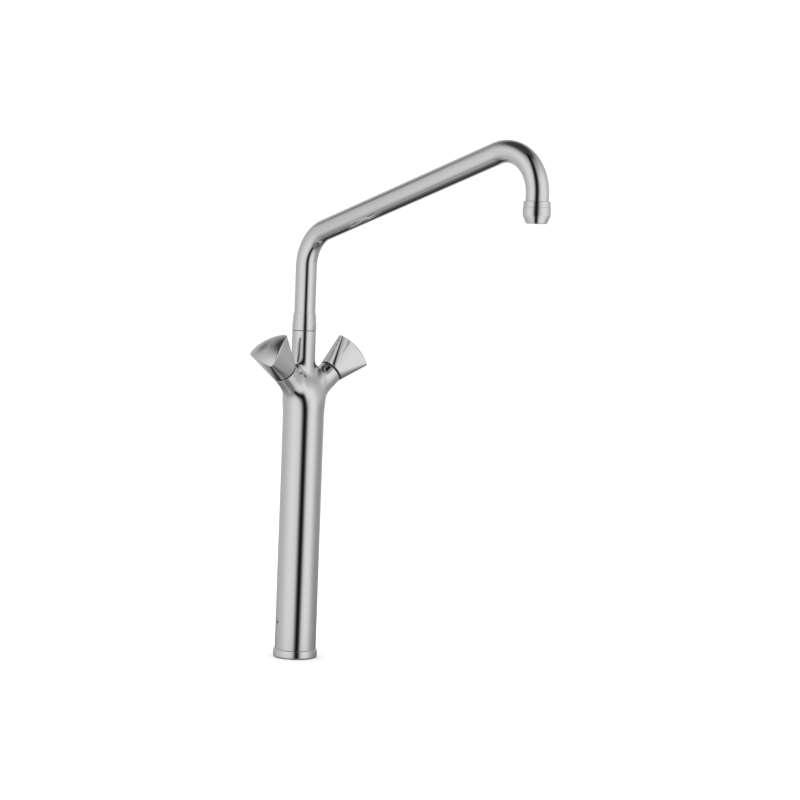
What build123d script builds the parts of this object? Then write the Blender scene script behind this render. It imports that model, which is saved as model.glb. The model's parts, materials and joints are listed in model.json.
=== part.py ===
from build123d import *
import os
from math import asin, cos, degrees, radians, sin, sqrt, tan

# Tall two-handle basin mixer. Millimetres, +Z up, origin at the centre of the base on the column axis.
# The spout points along -Y, the hot handle is on -X and the cold handle on +X.

# Column and foot
COLUMN_R = 21.5
COLUMN_WALL = 3.0
FOOT_R = 23.0
FOOT_H = 8.6
FOOT_EDGE = 1.8
FOOT_BORE_R = 16.0
SPIGOT_H = 4.6
SEAL_OUTER_R = 20.6
SEAL_INNER_R = 17.6
SEAL_GROOVE = 1.6
CAVITY_TOP = 258.0
SHOULDER_Z = 264.0
SHOULDER_H = 31.0

# Valve arms: they cross the column axis at ARM_Z, rise at ARM_RISE and lean forward by ARM_FORWARD
ARM_Z = 270.7
ARM_RISE = 41.5
ARM_FORWARD = 6.7
ARM_R = 13.0
ARM_LENGTH = 45.0
BLEND_R = 25.0
BLEND_SINK = 0.08
BLEND_STEPS = 6
ARM_BORE_R = 10.2
SEAT_D = 20.0

# Neck and swivel, set back from the column axis
NECK_Y = 3.5
NECK_R = 12.4
NECK_TOP = 342.0
CROTCH_R = 5.0
SHANK_R = 9.0
SHANK_BOTTOM = 316.0
SHANK_BORE_R = 6.0
SPOUT_SEAL_HEIGHTS = (319.5, 323.5)
SPOUT_SEAL_R = 0.95
LOCK_R = 2.0
LOCK_Z = 328.0
LOCK_GROOVE_R = 7.4
LOCK_GROOVE_H = 3.4
BUSH_R = 10.0
BUSH_DEPTH = 8.0
BUSH_FLANGE_H = 0.7
COLLAR_R = 12.5
COLLAR_STEP_Z = 352.0
COLLAR_UPPER_R = 11.95
COLLAR_TOP = 361.0

# Spout tube: riser corner, rising run, outlet corner, drop
TUBE_R = 11.0
TUBE_WALL = 1.0
RISER_CORNER_Z = 438.9
RUN_RISE = 17.4
RUN_LENGTH = 333.0
RISER_BEND_R = 40.0
OUTLET_BEND_R = 41.5
OUTLET_Z = 455.0

# Aerator
AERATOR_R = 13.2
AERATOR_MOUTH_R = 9.9
AERATOR_H = 15.0
AERATOR_CHAMFER_H = 7.3
AERATOR_BORE_R = 8.6
AERATOR_THREAD_R = 11.5
END_COLLAR_R = 12.8
END_COLLAR_H = 5.8
INSERT_HOLE_R = 1.15

# Handles: round at the foot, three-sided at the rim, with a domed top
KNOB_FOOT_R = 14.3
KNOB_FOOT_D = 47.3
KNOB_HEIGHT = 34.1
KNOB_RIM_R = 24.5
KNOB_DOME_H = 6.0
KNOB_CORNER_R = 1.6
KNOB_SWELL = 2.2
KNOB_OVER = 1.5
KNOB_EDGE = 0.7
KNOB_CAVITY_R = 12.9
KNOB_CAVITY_TO = 57.0
HOT_TURN = 21.0
COLD_TURN = 13.0

# Valve pieces, placed by their distance along the arm
DISC_R = 8.4
DISC_H = 3.0
SEAL_H = 2.0
PORT_R = 2.5
PORT_AT = 4.5
SPINDLE_R = 5.0
SPLINE_R = 4.0
SPLINE_TEETH = 20
SPLINE_DEPTH = 0.35
SPLINE_FROM = 57.0
SPINDLE_TOP = 66.0
WASHER_H = 1.0
HEX_ACROSS = 21.0
HOUSING_TOP = 51.0
STEM_SEAL_D = 40.0
INDEX_R = 5.3
INDEX_FROM = 78.0
SCREW_R = 2.45

# Supply and fixing
ANCHOR_BOTTOM = 13.25
ANCHOR_TOP = 42.0
INLET_X = 8.5
INLET_Y = 4.0
INLET_R = 4.5
INLET_DEPTH = 12.0
STUD_Y = -9.0
STUD_R = 3.4
STUD_DEPTH = 18.0
SUPPLY_R = 5.0
SUPPLY_BORE_R = 4.0
SUPPLY_FROM = 34.0
SUPPLY_TO = 266.0
SUPPLY_SEAL_Z = 38.5
GRUB_R = 2.5
GRUB_TIP = 16.8
GRUB_Z = 37.0
GRUB_HEADING = 109.0

# Clearances
SLIP = 0.05
RUN = 0.06
AIR = 0.3

NECK_AXIS = Location((0, NECK_Y, 0))
OUTLET_Y = NECK_Y - RUN_LENGTH * cos(radians(RUN_RISE))
OUTLET_AXIS = Location((0, OUTLET_Y, 0))
SIDES = {"hot": -1, "cold": 1}


def arm_plane(side):
    """Plane across one arm where it meets the column axis: z runs out along the arm, x points up."""
    rise = radians(ARM_RISE)
    forward = radians(ARM_FORWARD)
    out = Vector(side * cos(rise) * cos(forward), -cos(rise) * sin(forward), sin(rise))
    up = Vector(0, 0, 1) - out * out.Z
    return Plane(origin=(0, 0, ARM_Z), x_dir=up, z_dir=out)


def drum(radius, low, high):
    """Solid cylinder on the z axis from low to high."""
    return Pos(0, 0, (low + high) / 2) * Cylinder(radius, high - low)


def ring(outer, inner, low, high):
    """Plain ring on the z axis from low to high."""
    return drum(outer, low, high) - drum(inner, low, high)


def turned(points):
    """Solid turned about the z axis from a closed outline of (radius, height) points."""
    outline = Polyline(*[(r, 0, z) for r, z in points], close=True)
    return revolve(make_face(outline), Axis.Z)


def o_ring(centre_r, thickness_r, z):
    """Torus lying flat at height z."""
    return Pos(0, 0, z) * Torus(centre_r, thickness_r)


def rod(start, end, radius):
    """Solid round rod from one point to another."""
    a = Vector(*start)
    b = Vector(*end)
    plane = Plane(origin=a, z_dir=b - a)
    return extrude(plane * Circle(radius), (b - a).length)


# Body casting

def horn_section(head, lean, reach, height, radius):
    """Circle of the arm's lower blend: it leans over towards the arm and its outer point lies at (reach, height)."""
    along = head * sin(lean) + Vector(0, 0, cos(lean))
    across = head * cos(lean) - Vector(0, 0, sin(lean))
    centre = head * (reach - radius * cos(lean)) + Vector(0, 0, height + radius * sin(lean))
    return Plane(origin=centre, x_dir=across, z_dir=along) * Circle(radius)


def horn(side):
    """Arm that grows out of the column in one smooth curve, narrowing from the column to the arm."""
    turn = radians(90 - ARM_RISE)
    rise = radians(ARM_RISE)
    forward = radians(ARM_FORWARD)
    head = Vector(side * cos(forward), -sin(forward), 0)
    start_r = COLUMN_R - BLEND_SINK
    along = (start_r - ARM_R * sin(rise)) / cos(rise)
    corner_z = ARM_Z - ARM_R * cos(rise) + along * sin(rise)
    low_z = corner_z - BLEND_R * tan(turn / 2)
    sections = []
    for depth, inset in ((9.0, 1.4), (4.0, 0.55)):
        radius = start_r - inset
        sections.append(horn_section(head, 0, radius, low_z - depth, radius))
    for i in range(BLEND_STEPS + 1):
        share = i / BLEND_STEPS
        lean = turn * share
        eased = (share + share * share * (3 - 2 * share)) / 2
        radius = start_r + (ARM_R - start_r) * eased
        reach = start_r + BLEND_R * (1 - cos(lean))
        sections.append(horn_section(head, lean, reach, low_z + BLEND_R * sin(lean), radius))
    arm = arm_plane(side)
    tangent_d = along + BLEND_R * tan(turn / 2)
    for share in (1 / 3, 2 / 3, 1):
        distance = tangent_d + (ARM_LENGTH - tangent_d) * share
        centre = arm.from_local_coords((0, 0, distance))
        sections.append(Plane(origin=centre, x_dir=-arm.x_dir, z_dir=arm.z_dir) * Circle(ARM_R))
    return loft(sections)


def shoulder():
    """Half an ellipsoid that closes the top of the column."""
    height = SHOULDER_H
    dome = scale(Sphere(COLUMN_R), by=(1, 1, height / COLUMN_R))
    dome = Pos(0, 0, SHOULDER_Z) * dome
    return dome & drum(COLUMN_R + 1, SHOULDER_Z - 1, SHOULDER_Z + height + 1)


def neck_foot_edge(edge):
    """True for an edge that runs round the foot of the neck."""
    if edge.geom_type == GeomType.LINE or edge.length < 2:
        return False
    points = [edge @ share for share in (0.1, 0.5, 0.9)]
    return all(abs(sqrt(p.X**2 + (p.Y - NECK_Y)**2) - NECK_R) < 0.05 and p.Z < NECK_TOP - 12 for p in points)


def casting_outside():
    """Column, shoulder, neck and two arms as one form, before any hole is made."""
    form = drum(COLUMN_R, FOOT_H, SHOULDER_Z) + shoulder()
    form += NECK_AXIS * drum(NECK_R, ARM_Z, NECK_TOP)
    for side in SIDES.values():
        form += horn(side)
    return fillet([edge for edge in form.edges() if neck_foot_edge(edge)], CROTCH_R)


def casting_passages():
    """Everything that is bored out of the casting."""
    column_bore_r = COLUMN_R - COLUMN_WALL
    holes = [drum(column_bore_r, FOOT_H - 1, CAVITY_TOP)]
    holes.append(NECK_AXIS * drum(SHANK_R + RUN, SHANK_BOTTOM - 0.5, NECK_TOP))
    holes.append(NECK_AXIS * drum(BUSH_R + SLIP, NECK_TOP - BUSH_DEPTH, NECK_TOP + 1))
    holes.append(NECK_AXIS * drum(SHANK_BORE_R, ARM_Z + 22, SHANK_BOTTOM))
    mixing = (0, NECK_Y, ARM_Z + 26)
    for side in SIDES.values():
        arm = arm_plane(side)
        holes.append(arm.location * drum(ARM_BORE_R, SEAT_D, ARM_LENGTH + 1))
        inlet = (side * INLET_X, INLET_Y, SUPPLY_TO)
        seat = arm.from_local_coords((0, 0, SEAT_D + 0.5))
        window = arm.from_local_coords((0, 0, SEAT_D + 8))
        holes.append(rod((side * INLET_X, INLET_Y, CAVITY_TOP - 1), inlet, SUPPLY_R + SLIP))
        holes.append(rod(inlet, (seat.X, seat.Y, seat.Z), SUPPLY_BORE_R - 1))
        holes.append(rod((window.X, window.Y, window.Z), mixing, SUPPLY_BORE_R))
    holes.append(grub_line() * drum(GRUB_R + SLIP, 0, COLUMN_R + 2))
    holes.append(lock_line() * drum(LOCK_R + SLIP, 0, NECK_R + 2))
    return holes


def body_casting():
    form = casting_outside()
    for hole in casting_passages():
        form -= hole
    return form


# Foot of the column

def base_ring():
    """Chromed foot ring with a spigot that centres the column, and a groove for the seal."""
    outer = FOOT_R
    rim = turned([
        (FOOT_BORE_R, 0), (outer, 0), (outer, FOOT_H), (COLUMN_R - COLUMN_WALL - SLIP, FOOT_H),
        (COLUMN_R - COLUMN_WALL - SLIP, FOOT_H + SPIGOT_H), (FOOT_BORE_R, FOOT_H + SPIGOT_H),
    ])
    outer_edges = rim.edges().filter_by(GeomType.CIRCLE).filter_by(lambda e: abs(e.radius - outer) < 0.01)
    rim = fillet(outer_edges, FOOT_EDGE)
    return rim - ring(SEAL_OUTER_R, SEAL_INNER_R, -1, SEAL_GROOVE)


def base_seal():
    return ring(SEAL_OUTER_R - SLIP, SEAL_INNER_R + SLIP, 0, SEAL_GROOVE - SLIP)


def anchor_block():
    """Brass block in the foot: one hole for the fixing stud, two sockets for the supply hoses."""
    block = drum(COLUMN_R - COLUMN_WALL - SLIP, ANCHOR_BOTTOM, ANCHOR_TOP)
    block -= Pos(0, STUD_Y, 0) * drum(STUD_R, ANCHOR_BOTTOM - 1, ANCHOR_BOTTOM + STUD_DEPTH)
    for side in SIDES.values():
        inlet = Pos(side * INLET_X, INLET_Y, 0)
        block -= inlet * drum(INLET_R, ANCHOR_BOTTOM - 1, ANCHOR_BOTTOM + INLET_DEPTH)
        block -= inlet * drum(SUPPLY_BORE_R - 1, ANCHOR_BOTTOM, ANCHOR_TOP + 1)
        block -= inlet * drum(SUPPLY_R + SLIP, SUPPLY_FROM, ANCHOR_TOP + 1)
        block -= inlet * o_ring(SUPPLY_R, 0.9, SUPPLY_SEAL_Z)
    block -= grub_line() * drum(GRUB_R - 0.6, GRUB_TIP, COLUMN_R)
    return block


def grub_line():
    """Axis of the grub screw through the column wall: z runs out from the column axis."""
    heading = radians(GRUB_HEADING)
    out = Vector(-sin(heading), -cos(heading), 0)
    return Plane(origin=(0, 0, GRUB_Z), x_dir=(0, 0, 1), z_dir=out).location


def hex_recess(across, low, high):
    """Hexagon key recess on the z axis."""
    return extrude(Pos(0, 0, low) * RegularPolygon(across / 2, 6, major_radius=False), high - low)


def column_grub_screw():
    """Socket screw with a dog point that bears on the anchor block."""
    head_end = COLUMN_R - 0.4
    wall_inside = COLUMN_R - COLUMN_WALL
    screw = drum(GRUB_R, wall_inside - SLIP + 0.1, head_end)
    screw += drum(GRUB_R - 0.6 - SLIP, GRUB_TIP + SLIP, wall_inside + 1)
    screw -= hex_recess(2.5, head_end - 1.6, head_end + 1)
    return grub_line() * screw


def supply_tube(side):
    tube = ring(SUPPLY_R, SUPPLY_BORE_R, SUPPLY_FROM + SLIP, SUPPLY_TO - SLIP)
    tube -= o_ring(SUPPLY_R, 0.9, SUPPLY_SEAL_Z)
    return Pos(side * INLET_X, INLET_Y, 0) * tube


def supply_seals():
    """One sealing ring on each supply tube, seated half in the tube and half in the block."""
    return [Pos(side * INLET_X, INLET_Y, 0) * o_ring(SUPPLY_R, 0.85, SUPPLY_SEAL_Z) for side in SIDES.values()]


# Swivel and spout

def lock_line():
    """Axis of the spout screw at the back of the neck: z runs out from the neck axis."""
    return Plane(origin=(0, NECK_Y, LOCK_Z), x_dir=(0, 0, 1), z_dir=(0, 1, 0)).location


def spout_lock_screw():
    """Screw whose tip runs in the groove of the spout shank and keeps the spout from lifting out."""
    head_end = NECK_R - 0.3
    screw = drum(LOCK_R, SHANK_R + RUN + 0.2, head_end)
    screw += drum(LOCK_R - 0.7, LOCK_GROOVE_R + AIR, SHANK_R + 1)
    screw -= hex_recess(2.0, head_end - 1.3, head_end + 1)
    return lock_line() * screw


def swivel_bush():
    """Plastic bush that the spout turns in, with a thin flange that carries its weight."""
    bush = ring(BUSH_R, SHANK_R + RUN, NECK_TOP - BUSH_DEPTH + SLIP, NECK_TOP + BUSH_FLANGE_H)
    bush += ring(NECK_R - 0.3, SHANK_R + RUN, NECK_TOP, NECK_TOP + BUSH_FLANGE_H)
    return NECK_AXIS * bush


def spout_collar():
    """Turned brass socket: a shank that turns in the neck, and a stepped collar that holds the tube."""
    low = NECK_TOP + BUSH_FLANGE_H + 0.2
    socket_z = low + 4
    collar = turned([
        (SHANK_BORE_R, SHANK_BOTTOM), (SHANK_R, SHANK_BOTTOM), (SHANK_R, low), (COLLAR_R, low),
        (COLLAR_R, COLLAR_STEP_Z - 1.2), (COLLAR_R - 0.5, COLLAR_STEP_Z - 0.4),
        (COLLAR_UPPER_R - 0.5, COLLAR_STEP_Z), (COLLAR_UPPER_R, COLLAR_STEP_Z + 0.8),
        (COLLAR_UPPER_R, COLLAR_TOP - 4.0), (TUBE_R + 0.45, COLLAR_TOP), (TUBE_R + SLIP, COLLAR_TOP),
        (TUBE_R + SLIP, socket_z), (SHANK_BORE_R, socket_z),
    ])
    for z in SPOUT_SEAL_HEIGHTS:
        collar -= ring(SHANK_R + 1, SHANK_R - 2 * SPOUT_SEAL_R, z - 1.2, z + 1.2)
    groove_low = LOCK_Z - LOCK_GROOVE_H / 2
    collar -= ring(SHANK_R + 1, LOCK_GROOVE_R, groove_low, groove_low + LOCK_GROOVE_H)
    return NECK_AXIS * collar


def spout_seals():
    """Two sealing rings in the grooves of the shank."""
    centre = SHANK_R + 0.02 - SPOUT_SEAL_R
    return [NECK_AXIS * o_ring(centre, SPOUT_SEAL_R, z) for z in SPOUT_SEAL_HEIGHTS]


def spout_tube():
    """Bent tube: riser, long rising run and drop, joined by two tangent bends."""
    socket_z = NECK_TOP + BUSH_FLANGE_H + 4.2
    outlet_corner_z = RISER_CORNER_Z + RUN_LENGTH * sin(radians(RUN_RISE))
    route = FilletPolyline(
        (0, NECK_Y, socket_z + SLIP),
        (0, NECK_Y, RISER_CORNER_Z),
        (0, OUTLET_Y, outlet_corner_z),
        (0, OUTLET_Y, OUTLET_Z + AERATOR_H + 1),
        radius=[RISER_BEND_R, OUTLET_BEND_R],
    )
    section = Circle(TUBE_R) - Circle(TUBE_R - TUBE_WALL)
    tube = sweep(Pos(0, NECK_Y, socket_z + SLIP) * section, path=route)
    expected = section.area * route.length
    print("spout tube", round(route.length, 1), "mm long, volume over section times length",
          round(tube.volume / expected, 4))
    return tube


# Outlet

def spout_end_collar():
    """Brass ring on the end of the tube, with the thread that the aerator screws onto."""
    seam = OUTLET_Z + AERATOR_H + 0.2
    socket = OUTLET_Z + AERATOR_H + 1 - SLIP
    top = seam + END_COLLAR_H
    thread_low = OUTLET_Z + 9.6
    return OUTLET_AXIS * turned([
        (AERATOR_BORE_R, thread_low), (AERATOR_THREAD_R, thread_low), (AERATOR_THREAD_R, seam),
        (END_COLLAR_R, seam), (END_COLLAR_R, top - 0.6), (END_COLLAR_R - 0.6, top),
        (TUBE_R + SLIP, top), (TUBE_R + SLIP, socket), (AERATOR_BORE_R, socket),
    ])


def aerator_housing():
    """Outlet nut with the long chamfer that the photograph shows."""
    low = OUTLET_Z
    high = OUTLET_Z + AERATOR_H
    ledge = low + 6.4
    return OUTLET_AXIS * turned([
        (AERATOR_BORE_R, low + 0.4), (AERATOR_BORE_R + 0.4, low), (AERATOR_MOUTH_R, low),
        (AERATOR_R, low + AERATOR_CHAMFER_H), (AERATOR_R, high - 0.4), (AERATOR_R - 0.4, high),
        (AERATOR_THREAD_R + SLIP, high), (AERATOR_THREAD_R + SLIP, ledge), (AERATOR_BORE_R, ledge),
    ])


def aerator_insert():
    """Flow former: a flanged plug with two circles of jets round a middle one."""
    low = OUTLET_Z + 1.2
    ledge = OUTLET_Z + 6.4
    plug = drum(AERATOR_BORE_R - SLIP, low, ledge) + drum(AERATOR_THREAD_R - 0.3, ledge, ledge + 1.5)
    jets = [(0.0, 0.0)]
    for count, circle in ((6, 3.1), (12, 6.2)):
        for i in range(count):
            turn = radians(360 / count * i)
            jets.append((circle * cos(turn), circle * sin(turn)))
    for x, y in jets:
        plug -= Pos(x, y, 0) * drum(INSERT_HOLE_R, low - 1, ledge + 2)
    return OUTLET_AXIS * plug


def aerator_washer():
    low = OUTLET_Z + 7.95
    return OUTLET_AXIS * ring(AERATOR_THREAD_R - 0.2, AERATOR_BORE_R, low, low + 1.6)


# Handles and valves

def knob_side_arc(corner_out):
    """Radius and half angle of the wide arc that swells out between two corner arcs."""
    half_width = corner_out * sin(radians(60))
    radius = (half_width**2 + KNOB_SWELL**2) / (2 * KNOB_SWELL)
    return radius, degrees(asin(half_width / radius))


def knob_reach():
    """Corner radius of the rim outline, which lies a little above the dome."""
    growth = (KNOB_RIM_R - KNOB_FOOT_R) / (KNOB_HEIGHT - KNOB_DOME_H)
    return KNOB_FOOT_R + growth * (KNOB_HEIGHT + KNOB_OVER)


def knob_foot_outline():
    """Foot circle, cut into three long arcs under the corners and three short arcs under the sides."""
    half_side = knob_side_arc(knob_reach() - KNOB_CORNER_R)[1]
    edges = []
    for k in range(3):
        start = 120 * k - 60 + half_side
        end = 120 * k + 60 - half_side
        edges.append(CenterArc((0, 0), KNOB_FOOT_R, start, end - start))
        edges.append(CenterArc((0, 0), KNOB_FOOT_R, end, 2 * half_side))
    return make_face(edges)


def knob_rim_outline():
    """Three-sided outline with rounded corners and sides that swell out a little."""
    corner_out = knob_reach() - KNOB_CORNER_R
    side_radius, half_side = knob_side_arc(corner_out)
    side_out = corner_out * cos(radians(60)) + KNOB_SWELL - side_radius
    edges = []
    for k in range(3):
        corner = radians(120 * k)
        middle = (corner_out * cos(corner), corner_out * sin(corner))
        edges.append(CenterArc(middle, KNOB_CORNER_R, 120 * k - 60 + half_side, 120 - 2 * half_side))
        side = radians(120 * k + 60)
        middle = (side_out * cos(side), side_out * sin(side))
        edges.append(CenterArc(middle, side_radius + KNOB_CORNER_R, 120 * k + 60 - half_side, 2 * half_side))
    return make_face(edges)


def knob_dome_radius():
    return (KNOB_RIM_R**2 + KNOB_DOME_H**2) / (2 * KNOB_DOME_H)


def dome_ball(top):
    """Ball whose top touches the given height and whose curve is the dome of the handle."""
    radius = knob_dome_radius()
    return Pos(0, 0, top - radius) * Sphere(radius)


def knob_outside():
    """Ruled body from the round foot to the three-sided rim, cut by the dome."""
    top = KNOB_FOOT_D + KNOB_HEIGHT
    foot = Pos(0, 0, KNOB_FOOT_D) * knob_foot_outline()
    rim = Pos(0, 0, top + KNOB_OVER) * knob_rim_outline()
    body = loft([foot, rim], ruled=True)
    body = body & dome_ball(top)
    top_face = body.faces().filter_by(GeomType.SPHERE)
    return fillet(top_face.edges(), KNOB_EDGE)


def spline_outline(tip_r):
    """Fine toothed outline of the spindle end."""
    points = []
    for i in range(2 * SPLINE_TEETH):
        turn = radians(180 / SPLINE_TEETH * i)
        radius = tip_r if i % 2 == 0 else tip_r - SPLINE_DEPTH
        points.append((radius * cos(turn), radius * sin(turn)))
    return make_face(Polyline(*points, close=True))


def toothed(tip_r, low, high):
    return extrude(Pos(0, 0, low) * spline_outline(tip_r), high - low)


def knob():
    """Handle, hollow under its skirt, with a toothed socket and a screw well closed by the index cap."""
    form = knob_outside()
    form -= drum(KNOB_CAVITY_R, KNOB_FOOT_D - 1, KNOB_CAVITY_TO)
    form -= toothed(SPLINE_R + SLIP, KNOB_CAVITY_TO - 1, SPINDLE_TOP + 0.2)
    form -= drum(SCREW_R + 0.2, SPINDLE_TOP - 1, SPINDLE_TOP + 4)
    form -= drum(4.8, SPINDLE_TOP + 3, INDEX_FROM + 1)
    form -= drum(INDEX_R + SLIP, INDEX_FROM, KNOB_FOOT_D + KNOB_HEIGHT + 1)
    return form


def handle_screw():
    """Pan-head screw that holds the handle on its spindle."""
    seat = SPINDLE_TOP + 3
    screw = drum(SCREW_R, SPINDLE_TOP - 8, seat) + drum(4.4, seat, seat + 2.6)
    return screw - hex_recess(3.0, seat + 0.9, seat + 3)


def index_cap():
    """Small domed plug over the handle screw."""
    top = KNOB_FOOT_D + KNOB_HEIGHT
    return drum(INDEX_R, INDEX_FROM + SLIP, top + 1) & dome_ball(top)


def spindle():
    """Brass stem: driving flange, sealed shaft, clip groove and toothed end with a screw thread."""
    driver_low = SEAT_D + SEAL_H + 2 * DISC_H + 0.6
    driver_high = driver_low + 2.4
    shaft_top = HOUSING_TOP + 0.5
    stem = drum(DISC_R - 0.2, driver_low, driver_high) + drum(SPINDLE_R, driver_high, shaft_top)
    stem += drum(SPLINE_R - SPLINE_DEPTH, shaft_top, shaft_top + 1)
    stem += drum(SPINDLE_R, shaft_top + 1, shaft_top + 2.5) + drum(SPLINE_R, shaft_top + 2.5, SPLINE_FROM)
    stem += toothed(SPLINE_R, SPLINE_FROM, SPINDLE_TOP)
    stem += Pos(0, 0, driver_low - 0.5) * Box(3.0, 2 * (DISC_R - 0.4), 1.4)
    stem -= ring(SPINDLE_R + 1, SPINDLE_R - 1.5, STEM_SEAL_D - 1.1, STEM_SEAL_D + 1.1)
    stem -= drum(SCREW_R + SLIP, SPINDLE_TOP - 9, SPINDLE_TOP + 1)
    return stem


def stem_seal():
    """Sealing ring in the groove of the spindle."""
    return o_ring(SPINDLE_R - 0.75, 0.74, STEM_SEAL_D)


def spindle_clip():
    """Open spring clip in the groove above the valve housing."""
    low = HOUSING_TOP + 0.55
    clip = ring(6.6, SPLINE_R - SPLINE_DEPTH + SLIP, low, low + 0.9)
    return clip - Pos(-5, 0, low) * Box(6, 2.4, 4)


def valve_housing():
    """Screwed-in brass housing: disc chamber with two windows, thread and hexagon."""
    chamber_top = SEAT_D + SEAL_H + 2 * DISC_H + 3.4
    low = SEAT_D + SEAL_H
    hex_low = ARM_LENGTH + WASHER_H
    shell = drum(ARM_BORE_R - 0.9, low, chamber_top + 2) + drum(ARM_BORE_R - SLIP, chamber_top + 2, hex_low)
    shell += hex_recess(HEX_ACROSS, hex_low, hex_low + 3.4)
    shell += drum(8.0, hex_low, HOUSING_TOP)
    shell -= drum(DISC_R + SLIP, low - 1, chamber_top)
    shell -= drum(SPINDLE_R + RUN, low, HOUSING_TOP + 1)
    window_z = low + DISC_H + DISC_H / 2 + 0.4
    shell -= Pos(0, 0, window_z) * Box(5.0, 4 * ARM_BORE_R, DISC_H)
    return shell


def fixed_disc():
    """Ceramic disc that stands still, with one port beside the middle."""
    low = SEAT_D + SEAL_H
    return drum(DISC_R, low, low + DISC_H) - Pos(PORT_AT, 0, low) * Cylinder(PORT_R, 4 * DISC_H)


def moving_disc():
    """Ceramic disc that turns with the spindle: half a turn brings its port over the fixed one."""
    low = SEAT_D + SEAL_H + DISC_H + 0.1
    disc = drum(DISC_R - 0.2, low, low + DISC_H) - Pos(-PORT_AT, 0, low) * Cylinder(PORT_R, 4 * DISC_H)
    return disc - Pos(0, 0, low + DISC_H) * Box(3.2, 4 * DISC_R, 1.8)


def seat_seal():
    return ring(DISC_R - 0.1, 4.4, SEAT_D, SEAT_D + SEAL_H)


def housing_washer():
    return ring(11.6, ARM_BORE_R + SLIP, ARM_LENGTH, ARM_LENGTH + WASHER_H)


def shadow_ring():
    """Black ring that fills the gap between the arm and the skirt of the handle."""
    return ring(ARM_R + 0.2, HEX_ACROSS / sqrt(3) + 0.1, ARM_LENGTH, KNOB_FOOT_D - AIR)


def valve_pieces():
    """Pieces that both arms hold: name and maker."""
    return {
        "knob": knob,
        "handle_screw": handle_screw,
        "index_cap": index_cap,
        "spindle": spindle,
        "stem_seal": stem_seal,
        "spindle_clip": spindle_clip,
        "moving_disc": moving_disc,
        "fixed_disc": fixed_disc,
        "seat_seal": seat_seal,
        "valve_housing": valve_housing,
        "housing_washer": housing_washer,
        "shadow_ring": shadow_ring,
    }


def handle_turn(name):
    """Angle of the handle about its arm, counted from straight up towards the front."""
    return {"hot": -HOT_TURN, "cold": COLD_TURN}[name]


def all_nodes():
    nodes = {
        "body_casting": body_casting(),
        "base_ring": base_ring(),
        "base_seal": base_seal(),
        "anchor_block": anchor_block(),
        "column_grub_screw": column_grub_screw(),
        "supply_tube_seals": Compound(children=supply_seals()),
        "swivel_bush": swivel_bush(),
        "spout_lock_screw": spout_lock_screw(),
        "spout_collar": spout_collar(),
        "spout_seals": Compound(children=spout_seals()),
        "spout_tube": spout_tube(),
        "spout_end_collar": spout_end_collar(),
        "aerator_housing": aerator_housing(),
        "aerator_insert": aerator_insert(),
        "aerator_washer": aerator_washer(),
    }
    for name, side in SIDES.items():
        nodes[name + "_supply_tube"] = supply_tube(side)
    for piece, make in valve_pieces().items():
        shape = make()
        for name, side in SIDES.items():
            nodes[name + "_" + piece] = arm_plane(side).location * Rot(0, 0, handle_turn(name)) * shape
    return nodes


def main():
    os.makedirs("parts", exist_ok=True)
    for name, shape in all_nodes().items():
        export_step(shape, "parts/" + name + ".step")


main()
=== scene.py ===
# %% [markdown]
# # A tall basin mixer, dressed in chrome
#
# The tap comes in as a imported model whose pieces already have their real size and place. This lesson gives
# each piece that shows a smooth skin, gives every piece a finish, and sets up a small studio. Chrome has no
# colour of its own: what we see on it is the room. So the skins have to be very smooth and the lights matter
# as much as the materials.

import json
import bpy
import numpy as np
from math import atan2, cos, pi, radians, sin, sqrt, tan
from mathutils import Matrix, Vector


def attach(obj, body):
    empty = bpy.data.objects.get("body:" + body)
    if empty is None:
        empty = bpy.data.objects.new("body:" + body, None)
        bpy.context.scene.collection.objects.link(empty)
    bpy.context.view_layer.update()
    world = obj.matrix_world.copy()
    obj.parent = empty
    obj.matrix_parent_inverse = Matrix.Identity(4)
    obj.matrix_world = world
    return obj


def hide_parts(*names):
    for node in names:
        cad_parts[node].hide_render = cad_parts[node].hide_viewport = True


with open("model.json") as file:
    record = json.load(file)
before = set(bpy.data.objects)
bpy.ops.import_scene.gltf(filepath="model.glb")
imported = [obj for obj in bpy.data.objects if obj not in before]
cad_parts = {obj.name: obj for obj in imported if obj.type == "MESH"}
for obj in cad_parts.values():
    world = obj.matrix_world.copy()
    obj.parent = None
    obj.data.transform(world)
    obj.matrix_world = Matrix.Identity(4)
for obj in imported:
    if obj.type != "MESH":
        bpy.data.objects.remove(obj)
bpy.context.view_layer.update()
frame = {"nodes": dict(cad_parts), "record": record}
nodes = frame["nodes"]
MM = 0.001
print("pieces in the packed model:", len(nodes))

# %% [markdown]
# The camera stands where the photographer stood. Its direction, distance and lens were worked out from the
# outlines of the column, the handles and the two bends of the spout: a long lens, about forty-five degrees
# round to the left of the spout, and only a little above the handles.

# %% Camera
CAMERA_TURN = radians(44.92)
CAMERA_PITCH = radians(2.82)
CAMERA_ROLL = radians(2.16)
CAMERA_DISTANCE = 2.2889
CAMERA_AIM = Vector((0, 0, 0.250))
CAMERA_OFFSET = (0.1003, 0.0235)
LENS = 98.53
SENSOR = 36.0

to_camera = Vector((-sin(CAMERA_TURN), -cos(CAMERA_TURN), 0)) * cos(CAMERA_PITCH)
to_camera.z = sin(CAMERA_PITCH)
screen_right = Vector((cos(CAMERA_TURN), -sin(CAMERA_TURN), 0))
screen_up = to_camera.cross(screen_right)


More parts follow.
